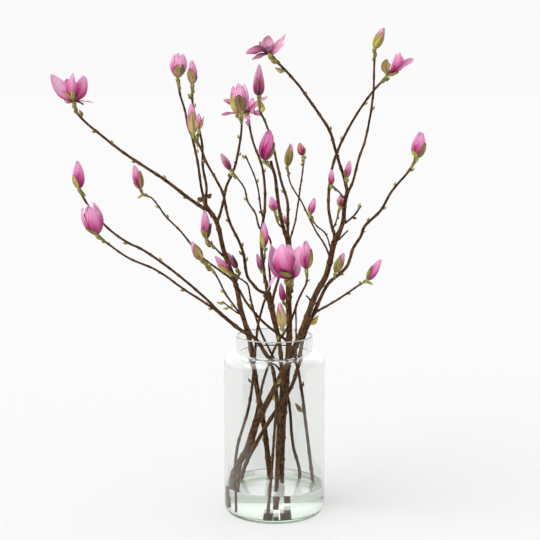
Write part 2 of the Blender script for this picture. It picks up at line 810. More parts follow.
@dataclass
class Vase:
    """Clear glass vase with a round shoulder, a short neck and water in it (millimetres).

    guard is the length of the short straight piece beside each rounding, which keeps the long
    straight walls from being shaded as if they were bent.
    """

    height: float = 345
    body_radius: float = 95.5
    neck_radius: float = 72.5
    neck_height: float = 33
    shoulder_radius: float = 20
    shoulder_fillet: float = 3
    foot_radius: float = 18
    inner_foot_radius: float = 6
    wall: float = 3.6
    floor: float = 10
    rim_round: float = 1.8
    water_level: float = 57
    meniscus: float = 0.7
    push_up: float = 1.2
    turns: int = 128
    overlap: float = 0.1
    guard: float = 0.8

    def _arc(self, r: float, z: float, radius: float, start: float, end: float,
             steps: int = 8) -> list[tuple[float, float]]:
        """Points of an arc round (r, z), angles in degrees."""
        return [(r + radius * math.cos(math.radians(mix(start, end, k / steps))),
                 z + radius * math.sin(math.radians(mix(start, end, k / steps))))
                for k in range(steps + 1)]

    def _turned(self, node: str, slot: str, outline: Iterable[tuple[float, float]],
                finish: Finish) -> None:
        """An outline of (radius, height) turned round the upright axis."""
        piece = Piece("vase_" + slot, [finish])
        bm = piece.bm
        corners = [bm.verts.new((r * MM, 0, z * MM)) for r, z in outline]
        edges = [bm.edges.new(pair) for pair in zip(corners, corners[1:])]
        bmesh.ops.spin(bm, geom=corners + edges, cent=(0, 0, 0), axis=(0, 0, 1),
                       angle=2 * math.pi, steps=self.turns, use_merge=True)
        bmesh.ops.remove_doubles(bm, verts=bm.verts, dist=1e-6)
        bmesh.ops.recalc_face_normals(bm, faces=bm.faces)
        for face in bm.faces:
            face.smooth = True
        piece.done(replaces=[node])

    def build(self) -> None:
        """Makes the glass and the water."""
        top = self.height - self.neck_height
        shoulder_z = top - self.shoulder_radius
        shoulder_r = self.body_radius - self.shoulder_radius
        inner = self.body_radius - self.wall
        neck_in = self.neck_radius - self.wall
        rim_r, rim_z = self.neck_radius - self.rim_round, self.height - self.rim_round
        foot_r = self.body_radius - self.foot_radius
        fillet = self.shoulder_fillet
        inner_foot_r = inner - self.inner_foot_radius
        inner_foot_z = self.floor + self.inner_foot_radius
        guard = self.guard
        outline = [
            (0, self.push_up), (foot_r * 0.9, self.push_up), (foot_r * 0.93, self.push_up),
            (foot_r * 0.955, self.push_up * 0.5), (foot_r * 0.97, 0),
            *self._arc(foot_r, self.foot_radius, self.foot_radius, -90, 0, 14),
            (self.body_radius, self.foot_radius + guard), (self.body_radius, shoulder_z - guard),
            *self._arc(shoulder_r, shoulder_z, self.shoulder_radius, 0, 84, 12),
            *self._arc(self.neck_radius + fillet, top + fillet, fillet, -92, -180, 7),
            (self.neck_radius, top + fillet + guard), (self.neck_radius, rim_z - guard),
            *self._arc(rim_r, rim_z, self.rim_round, 0, 180, 10),
            (neck_in, rim_z - guard), (neck_in, top + fillet + guard),
            *self._arc(self.neck_radius + fillet, top + fillet, fillet + self.wall, 180, 266, 9),
            *self._arc(shoulder_r, shoulder_z, self.shoulder_radius - self.wall, 84, 0, 10),
            (inner, shoulder_z - guard), (inner, inner_foot_z + guard),
            *self._arc(inner_foot_r, inner_foot_z, self.inner_foot_radius, 0, -90, 10),
            (inner_foot_r - guard, self.floor), (0, self.floor),
        ]
        self._turned("vase", "glass", outline, GLASS)
        wet = inner + self.overlap
        floor = self.floor - self.overlap
        surface = [
            (0, floor), (inner_foot_r - guard, floor),
            *self._arc(inner_foot_r, inner_foot_z, self.inner_foot_radius + self.overlap,
                       -90, 0, 10),
            (wet, inner_foot_z + guard), (wet, self.water_level - guard),
            (wet, self.water_level + self.meniscus),
            (wet - 0.5, self.water_level + self.meniscus * 0.4),
            (wet - 1.2, self.water_level + self.meniscus * 0.1),
            (wet - 2, self.water_level), (wet - 2 - guard, self.water_level),
            (0, self.water_level),
        ]
        self._turned("water", "water", surface, WATER)


# ------------------------------------------------------------------ wood


@dataclass(frozen=True)
class Limb:
    """One limb: its radius at either end and the points along its middle, in millimetres."""

    start: float
    end: float
    points: tuple[Point, ...]

    @property
    def route(self) -> Route:
        """The smooth way along its middle."""
        return Route(self.points)


@dataclass(frozen=True)
class LeafBud:
    """A leaf bud on a limb, at a fraction of its length, with its size in millimetres.

    felt is drawn at random when it isn't stated, and lean is the degrees that it leans out.
    """

    limb: str
    fraction: float
    turn: float
    length: float
    width: float
    felt: Felt | None = None
    lean: float = 26


@dataclass(frozen=True)
class Bract:
    """A felted scale that wraps a bud or flower.

    turn is in degrees round it, reach is the share of its length that the scale covers, span is
    the degrees that it wraps, and lift and flare are how far its body and tip stand off, in
    millimetres.
    """

    turn: float
    reach: float = 0.6
    span: float = 130
    felt: Felt = OLIVE
    lift: float = 0.5
    flare: float = 0.0


@dataclass(frozen=True)
class Bud:
    """A closed bud: the limb that it ends, its tip and its width in millimetres."""

    limb: str
    tip: Point
    width: float
    bracts: tuple[Bract, ...]
    blush: Blush = PINK
    opening: float = 0.0
    fullness: float = 0.72


@dataclass(frozen=True)
class Tepal:
    """One spread tepal: a point at its middle, its tip and its width, in millimetres.

    point is 0 for a round tip and 1 for a sharp one, wrap is the degrees that its section
    turns, turn is the degrees that its face is turned about its own length, full is the share
    of its length where it reaches its full width, and felt is stated for a felted husk.
    """

    middle: Point
    tip: Point
    width: float
    point: float = 0.35
    wrap: float = 100
    turn: float = 0.0
    full: float = 0.5
    felt: Felt | None = None


@dataclass(frozen=True)
class Flower:
    """An open flower: the limb that it ends, its tepals and the husks under them."""

    limb: str
    tepals: tuple[Tepal, ...]
    husks: tuple[Tepal, ...]
    blush: Blush = PINK


@dataclass(frozen=True)
class Branch:
    """One cut branch with all that grows on it."""

    limbs: dict[str, Limb]
    leaf_buds: tuple[LeafBud, ...]
    blossoms: dict[str, Bud | Flower]


def leaf_buds(limb: str, *buds: tuple) -> list[LeafBud]:
    """Leaf buds of one limb, each given by what a LeafBud states after its limb."""
    return [LeafBud(limb, *bud) for bud in buds]


@dataclass
class Wood:
    """The wood of one branch: swept limbs with nodes, spurs, ring scars and leaf buds."""

    name: str
    branch: Branch
    flare: float = 0.45
    flare_reach: float = 0.006
    node_spacing: tuple[float, float] = (0.020, 0.042)
    rings_under_blossom: int = 6
    stem_under_blossom: float = 3.5
    scales_under_blossom: int = 3
    ring_spacing: float = 0.0032
    first_ring: float = 0.0016
    blossom_ring: float = 0.0007
    node_ring: float = 0.0008
    node_clearance: float = 0.007
    end_clearance: float = 0.012

    def __post_init__(self) -> None:
        """Sets the random draws of this branch."""
        self.draw = random.Random(self.name)

    def _nodes(self, limb_name: str, limb: Limb, route: Route) -> list[tuple[float, float]]:
        """Distances and turns of the limb's nodes, the ones that carry leaf buds first."""
        nodes = [(bud.fraction * route.length, float(bud.turn))
                 for bud in self.branch.leaf_buds if bud.limb == limb_name]
        distance = self.draw.uniform(self.end_clearance, 0.03)
        turn = self.draw.uniform(0, 360)
        while distance < route.length - self.end_clearance:
            if all(abs(distance - other) > self.node_clearance for other, _ in nodes):
                nodes.append((distance, turn))
            thick = 1.5 if limb.start > 3 else 1.0
            distance += self.draw.uniform(*self.node_spacing) * thick
            turn += 137.5 + self.draw.uniform(-25, 25)
        return nodes

    def _radius(self, limb: Limb, route: Route, distance: float, is_trunk: bool,
                nodes: Sequence[tuple[float, float]], under_blossom: bool) -> tuple[float, float]:
        """Radius and scar strength at a distance along a limb."""
        radius = mix(limb.start, limb.end, distance / route.length) * MM
        swell, scar = 0.0, 0.0
        for node, _ in nodes:
            off = distance - node
            swell += 0.2 * math.exp(-(off / 0.0035) ** 2)
            ring = math.exp(-(off / self.node_ring) ** 2)
            swell += 0.08 * ring
            scar = max(scar, ring)
        if not is_trunk:
            swell += self.flare * math.exp(-distance / self.flare_reach)
        if under_blossom:
            left = route.length - distance
            thicker = clamp(self.stem_under_blossom / limb.end - 1) * 0.95
            swell += thicker * math.exp(-(left / 0.014) ** 2)
            for k in range(self.rings_under_blossom):
                off = left - self.first_ring - self.ring_spacing * k
                ring = math.exp(-(off / self.blossom_ring) ** 2)
                swell += 0.17 * ring
                scar = max(scar, 0.8 * ring)
        return radius * (1 + swell), scar

    def _sweep(self, piece: Piece, limb_name: str, limb: Limb) -> None:
        """Adds one limb to the piece."""
        route = limb.route
        is_trunk = limb_name == "trunk"
        blooms = any(b.limb == limb_name for b in self.branch.blossoms.values())
        nodes = self._nodes(limb_name, limb, route)
        step = 0.004 if limb.start > 3 else 0.0034
        stops = {k * route.length / max(1, round(route.length / step))
                 for k in range(round(route.length / step) + 1)}
        for node, _ in nodes:
            stops |= {node + k * self.node_ring for k in (-2, -1, 0, 1, 2)}
        if blooms:
            stops |= {route.length - self.first_ring - self.ring_spacing * k + side * self.blossom_ring
                      for k in range(self.rings_under_blossom) for side in (-1, 0, 1)}
        stops = sorted(s for s in stops if 0 <= s <= route.length)
        stops = [s for s, after in zip(stops, [*stops[1:], 9.0]) if after - s > 0.0003]
        sides = 14 if limb.start > 4 else 12 if limb.start > 2.4 else 10
        seed = Vector((self.draw.random(), self.draw.random(), self.draw.random())) * 40
        place_layer, state_layer = piece.layer("bark_place"), piece.layer("bark_state")
        bm = piece.bm
        left = side_vectors(route.at(0)[1])[0]
        before, made = None, []
        first_ring: list = []
        for distance in stops:
            centre, along = route.at(distance)
            left = (left - along * left.dot(along)).normalized()
            radius, scar = self._radius(limb, route, distance, is_trunk, nodes, blooms)
            sway = noise.noise_vector(seed + Vector((distance * 38, 0, 0))) * 0.0005
            sway *= min(1.0, distance / 0.01, (route.length - distance) / 0.01)
            frame = Matrix((left, along.cross(left), along)).transposed().to_4x4()
            frame.translation = centre + sway
            ring = bmesh.ops.create_circle(
                bm, cap_ends=False, segments=sides, radius=radius, matrix=frame)["verts"]
            edges = list({edge for vert in ring for edge in vert.link_edges})
            green = 0.9 * ease(0.03, 0.006, route.length - distance) if blooms else 0.0
            age = ease(1.6, 4.6, mix(limb.start, limb.end, distance / route.length))
            for vert in ring:
                arm = vert.co - frame.translation
                where = Vector((arm.dot(left), arm.dot(along.cross(left)), distance))
                lump = noise.noise(seed + where * 260) * 0.07
                lump += noise.noise(seed * 2 + Vector((where.x * 700, where.y * 700,
                                                       distance * 110))) * 0.05
                vert.co += arm * lump
                vert[place_layer] = where + seed * 0.1
                vert[state_layer] = (age, scar, green)
            if before:
                bmesh.ops.bridge_loops(bm, edges=before + edges)
            else:
                first_ring = edges
            before = edges
            made += ring
        foot = bmesh.ops.edgeloop_fill(bm, edges=first_ring)["faces"]
        bmesh.ops.edgeloop_fill(bm, edges=before)
        faces = list({face for vert in made for face in vert.link_faces})
        bmesh.ops.recalc_face_normals(bm, faces=faces)
        for face in faces:
            face.smooth = len(face.verts) <= 4
        if is_trunk:
            for face in foot:
                face.material_index = piece.finish_index(CUT_WOOD)
        self._spurs(piece, limb, route, nodes)

    def _spurs(self, piece: Piece, limb: Limb, route: Route,
               nodes: Sequence[tuple[float, float]]) -> None:
        """Small sleeping buds and stubs at the nodes that carry no leaf bud."""
        place_layer, state_layer = piece.layer("bark_place"), piece.layer("bark_state")
        carried = {round(b.fraction * route.length, 6) for b in self.branch.leaf_buds}
        for distance, turn in nodes:
            if round(distance, 6) in carried or self.draw.random() < 0.25:
                continue
            centre, along = route.at(distance)
            radius = mix(limb.start, limb.end, distance / route.length) * MM
            away = outward(along, turn)
            length = self.draw.uniform(0.0022, 0.0052)
            lean = (along + away * self.draw.uniform(0.5, 1.1)).normalized()
            base = centre + away * radius * 0.75 - along * 0.001
            made = bmesh.ops.create_cone(
                piece.bm, cap_ends=True, segments=7, radius1=0.0012, radius2=0.0004,
                depth=length, matrix=Matrix.Translation(base + lean * length / 2)
                @ lean.to_track_quat("Z", "Y").to_matrix().to_4x4())["verts"]
            pale = self.draw.random()
            for vert in made:
                vert[place_layer] = vert.co - centre
                vert[state_layer] = (0.3, pale * 0.6, ease(0.6, 1.0, pale) * 0.8)
            for face in {face for vert in made for face in vert.link_faces}:
                face.smooth = True

    def _leaf_bud(self, piece: Piece, bud: LeafBud) -> None:
        """One leaf bud: a plump outer scale and a slimmer inner one."""
        limb = self.branch.limbs[bud.limb]
        route = limb.route
        centre, along = route.at(bud.fraction * route.length)
        away = outward(along, bud.turn)
        lean = math.radians(bud.lean)
        direction = along * math.cos(lean) + away * math.sin(lean)
        radius = mix(limb.start, limb.end, bud.fraction) * MM
        base = centre + away * radius * 0.55
        tip = base + direction * bud.length * MM
        bend = away * bud.length * MM * 0.09
        seed = self.draw.random() * 9
        felt = bud.felt or self.draw.choice([YELLOW_GREEN, YELLOW_GREEN, OLIVE])
        slot = piece.finish_index(felted(felt))
        width = bud.width * MM
        rounds, rings = (12, 12) if bud.length > 12 else (8, 8)
        piece.spindle(base, tip, width * 0.86, seed, slot, bend, rounds, rings, 0.8)
        outer_tip = base.lerp(tip, 0.74) + away * width * 0.12
        piece.spindle(base, outer_tip, width, seed + 1, slot, bend * 1.5, rounds, rings, 0.66)

    def _scales(self) -> list[LeafBud]:
        """The small loose scales on the stem under each blossom."""
        scales = []
        for blossom in self.branch.blossoms.values():
            length = self.branch.limbs[blossom.limb].route.length
            for k in range(self.scales_under_blossom):
                below = self.draw.uniform(0.005, 0.010) + 0.0065 * k
                if below < length * 0.6:
                    scales.append(LeafBud(
                        blossom.limb, 1 - below / length, self.draw.uniform(0, 360),
                        self.draw.uniform(6, 11), self.draw.uniform(2.8, 4.6),
                        self.draw.choice([YELLOW_GREEN, OLIVE, BROWN]),
                        self.draw.uniform(14, 38)))
        return scales

    def build(self) -> None:
        """Makes the wood and its leaf buds."""
        stem = self.name.removeprefix("branch_")
        wood = Piece(f"{stem}_wood", [BARK])
        wood.layer("bark_place")
        wood.layer("bark_state")
        for limb_name, limb in self.branch.limbs.items():
            self._sweep(wood, limb_name, limb)
        wood.done(replaces=[self.name])
        buds = Piece(f"{stem}_leaf_buds", [])
        for bud in [*self.branch.leaf_buds, *self._scales()]:
            self._leaf_bud(buds, bud)
        buds.done()


# ------------------------------------------------------------------ blossoms


@dataclass
class Blossom:
    """One blossom on the end of its limb: tepals, bracts, collar and heart."""

    name: str
    limb: Limb
    made_of: Bud | Flower
    bud_gap: float = 1.2
    receptacle: float = 4.0
    collar_radius: tuple[float, float] = (2.2, 3.4)
    tepal_wall: float = 0.0005
    bract_wall: float = 0.0007

    def __post_init__(self) -> None:
        """Finds where the blossom stands and which way it grows."""
        self.draw = random.Random(self.name)
        self.end = vec(self.limb.points[-1])
        growth = (self.end - vec(self.limb.points[-2])).normalized()
        if isinstance(self.made_of, Bud):
            self.axis = (vec(self.made_of.tip) - self.end).normalized()
            self.base = self.end + self.axis * self.bud_gap * MM
        else:
            tips = sum((vec(t.middle) for t in self.made_of.tepals), Vector())
            self.heart = tips / len(self.made_of.tepals)
            self.base = self.end + growth * (self.bud_gap + self.receptacle) * MM
            self.axis = growth

    def _tepal_finishes(self) -> list[Finish]:
        """The outside and the inside finish of the tepals."""
        blush = self.made_of.blush
        tone = blush.name.lower()
        return [TepalFinish(f"tepal {tone} outside", blush),
                TepalFinish(f"tepal {tone} inside", blush, True)]

    def _wrapped(self, piece: Piece, turn: float, span: float, reach: float, lift: float,
                 flare: float, twist: float, slot: int, width: float, length: float,
                 fullness: float, point: float, grid: tuple[int, int],
                 spiral: float = 0.0, ruffle: float = 0.0) -> None:
        """A blade wrapped round the blossom's axis, on the outline of a bud.

        Args:
            piece: the mesh that it is added to.
            turn: where its middle is, in degrees round the axis.
            span: the degrees that it wraps.
            reach: the share of the bud's length that it covers.
            lift: how far it stands off the outline.
            flare: how far its tip bends out.
            twist: the degrees that it turns on its way up.
            slot: its material slot.
            width: the bud's width.
            length: the bud's length.
            fullness: where the bud is widest.
            point: how sharp its tip is.
            grid: faces across and along.
            spiral: how far one edge stands over the other.
            ruffle: how far its tip waves in and out.
        """
        base, axis = self.base, self.axis
        sway = self.draw.uniform(-1, 1)

        def place(u: float, v: float) -> Vector:
            way = v * reach
            half = span / 2 * (1 - v ** (5 - 3.4 * point)) ** (0.45 + 0.3 * point)
            half *= mix(0.72, 1.0, ease(0, 0.2, v))
            angle = turn + u * half + twist * v + sway * 5 * v * v
            radius = max(bud_outline(way, fullness) * width / 2, 0.0005)
            radius += lift * (1 - 0.35 * abs(u) ** 3) + spiral * (u + 1) / 2
            radius += flare * v ** 3
            radius += (0.00025 + ruffle * v) * math.sin(u * 7 + sway * 9) * v
            return base + axis * (way * length) + outward(axis, angle) * radius

        piece.sheet(*grid, place, lambda v: base + axis * (v * reach * length),
                    self.draw.random() * 9, slot)

    def _bud(self, bud: Bud) -> None:
        """Makes the tepals and bracts of a closed bud."""
        tip = vec(bud.tip)
        length = (tip - self.base).length
        width = bud.width * MM
        tepals = Piece(f"{self.name}_tepals", self._tepal_finishes())
        core = tepals.finish_index(self._tepal_finishes()[0])
        first = self.draw.uniform(0, 120)
        opening = bud.opening
        inner_width = width * mix(0.86, 0.7, opening)
        tepals.spindle(self.base, self.base.lerp(tip, mix(0.95, 0.86, opening)), inner_width,
                       self.draw.random() * 9, core, None, 16, 14, bud.fullness)
        outer = 3 if opening < 0.25 else 4
        for ring, (share, count) in enumerate(((0.9, 3), (1.0, outer))):
            for k in range(count):
                turn = first + ring * 60 + k * 360 / count + self.draw.uniform(-12, 12)
                reach = self.draw.uniform(mix(0.95, 0.84, opening), 1.0 if ring else 0.98)
                flare = width * opening * (0.24 if ring else 0.06) * self.draw.uniform(0.5, 1.3)
                self._wrapped(
                    tepals, turn, mix(128, 106, opening), reach, 0.0001 + 0.0003 * ring,
                    flare + 0.0003 * ring, 14, 0, width * share - 0.0012, length,
                    bud.fullness, mix(0.6, 0.8, opening), (12, 18), 0.0005, 0.0022 * opening)
        tepals.done(thicken(self.tepal_wall, 1), replaces=[self.name])
        self._bracts(bud.bracts, width, length, bud.fullness)

    def _bracts(self, bracts: Sequence[Bract], width: float, length: float,
                fullness: float) -> None:
        """Makes the bracts, the collar and the receptacle."""
        piece = Piece(f"{self.name}_bracts", [])
        for bract in bracts:
            slot = piece.finish_index(felted(bract.felt))
            self._wrapped(piece, bract.turn, bract.span, bract.reach, bract.lift * MM,
                          bract.flare * MM, self.draw.uniform(-6, 6), slot, width, length,
                          fullness, self.draw.uniform(0.62, 0.9), (8, 12))
        self._collar(piece)
        piece.done(thicken(self.bract_wall, 0))

    def _collar(self, piece: Piece) -> None:
        """The ragged green ring and the swelling that the blossom stands on."""
        radius = min(max(self.limb.end * 1.5, self.collar_radius[0]), self.collar_radius[1]) * MM
        slot = piece.finish_index(COLLAR)
        lobes, low_lobes = 7, 4
        for k in range(lobes + low_lobes):
            upper = k < lobes
            foot = self.end - self.axis * (0.001 if upper else 0.0052)
            turn = k * 360 / (lobes if upper else low_lobes) + self.draw.uniform(-16, 16)
            height = self.draw.uniform(0.0036, 0.0068)
            spread = self.draw.uniform(0.0006, 0.0034)
            away = outward(self.axis, turn)
            across = self.axis.cross(away)

            def place(u: float, v: float, foot: Vector = foot, away: Vector = away,
                      across: Vector = across, height: float = height,
                      spread: float = spread) -> Vector:
                half = radius * 0.58 * (1 - v ** 2.2) ** 0.7 + 0.0001
                stand = radius * (1 - 0.12 * u * u) + spread * v * v
                return foot + self.axis * height * v + away * stand + across * u * half

            piece.sheet(4, 4, place, lambda v, foot=foot: foot, self.draw.random() * 9, slot)
        olive = piece.finish_index(RECEPTACLE)
        top = 0.006 if isinstance(self.made_of, Bud) else 0.0045
        piece.spindle(self.end - self.axis * 0.006, self.end + self.axis * top,
                      radius * 2.2, self.draw.random() * 9, olive, None, 12, 10, 0.95)

    def _spread_tepal(self, piece: Piece, tepal: Tepal) -> None:
        """One open tepal: a cupped blade that leaves the receptacle and bends to its tip."""
        middle, tip = vec(tepal.middle), vec(tepal.tip)
        control = middle * 2 - self.base * 0.5 - tip * 0.5
        width = tepal.width * MM / 2
        wrap = math.radians(tepal.wrap) / 2
        phase = self.draw.uniform(0, 6.28)

        def spine(v: float) -> tuple[Vector, Vector]:
            spot = self.base * ((1 - v) ** 2) + control * (2 * v * (1 - v)) + tip * (v * v)
            way = (control - self.base) * (2 * (1 - v)) + (tip - control) * (2 * v)
            return spot, way.normalized()

        facing = Matrix.Rotation(math.radians(tepal.turn), 3, (tip - self.base).normalized())

        def place(u: float, v: float) -> Vector:
            spot, along = spine(v)
            to_heart = facing @ (self.heart - middle)
            inward = (to_heart - along * to_heart.dot(along)).normalized()
            across = along.cross(inward)
            claw = mix(0.3, 1.0, ease(0.0, tepal.full, v))
            top = clamp((v - 0.6) / 0.4)
            end = mix(math.sqrt(max(0.0, 1 - top ** 2.4)), (1 - top) ** 0.8, tepal.point)
            half = width * claw * end
            angle = u * wrap * mix(1.25, 0.8, v)
            ratio = math.sin(wrap)
            spot = spot + across * (half * math.sin(angle) / ratio)
            spot += inward * (half * (1 - math.cos(angle)) / ratio)
            spot -= inward * (0.0005 * math.exp(-(u / 0.16) ** 2) * math.sin(math.pi * v))
            ruffle = abs(u) ** 3 * math.sin(v * 9 + phase + u) * 0.0012 * ease(0.2, 0.7, v)
            return spot + inward * ruffle

        slot = piece.finish_index(felted(tepal.felt)) if tepal.felt else 0
        inner = facing @ (self.heart - middle)
        piece.sheet(12, 18, place, lambda v: spine(v)[0] + inner, self.draw.random() * 9, slot)

    def _heart(self) -> None:
        """The cone of stigmas and the ring of stamens inside an open flower."""
        piece = Piece(f"{self.name}_heart", [STIGMA])
        stamen = piece.finish_index(STAMEN)
        axis = (self.heart - self.base).normalized()
        foot = self.base
        piece.spindle(foot, foot + axis * 0.017, 0.0062, 1.0, 0, None, 12, 12, 0.9)
        for row in range(5):
            for k in range(7):
                turn = k * 360 / 7 + row * 26
                away = outward(axis, turn)
                start = foot + axis * (0.006 + 0.0022 * row) + away * 0.0024
                end = start + (away * 0.0022 + axis * 0.0016)
                piece.spindle(start, end, 0.0011, row + k * 0.1, 0, axis * -0.0006, 6, 5)
        for row in range(2):
            for k in range(14):
                turn = k * 360 / 14 + row * 13
                away = outward(axis, turn)
                start = foot + axis * (0.0015 + 0.0012 * row) + away * 0.002
                lean = away * self.draw.uniform(0.7, 1.0) + axis * (1.0 + 0.5 * row)
                piece.spindle(start, start + lean.normalized() * 0.0085, 0.0015,
                              row + k * 0.1, stamen, away * 0.0006, 6, 6, 0.9)
        piece.done()

    def _flower(self, flower: Flower) -> None:
        """Makes an open flower."""
        tepals = Piece(f"{self.name}_tepals", self._tepal_finishes())
        for tepal in flower.tepals:
            self._spread_tepal(tepals, tepal)
        tepals.done(thicken(self.tepal_wall * 1.3, 1, 1), replaces=[self.name])
        self._heart()
        husks = Piece(f"{self.name}_bracts", [])
        for husk in flower.husks:
            self._spread_tepal(husks, husk)
        self._collar(husks)
        husks.done(thicken(self.bract_wall, 0))

    def build(self) -> None:
        """Makes the blossom."""
        if isinstance(self.made_of, Bud):
            self._bud(self.made_of)
        else:
            self._flower(self.made_of)


# ------------------------------------------------------------------ the branches
#
# Points, lengths and widths in millimetres. Turns are degrees round the growth, as in Side.

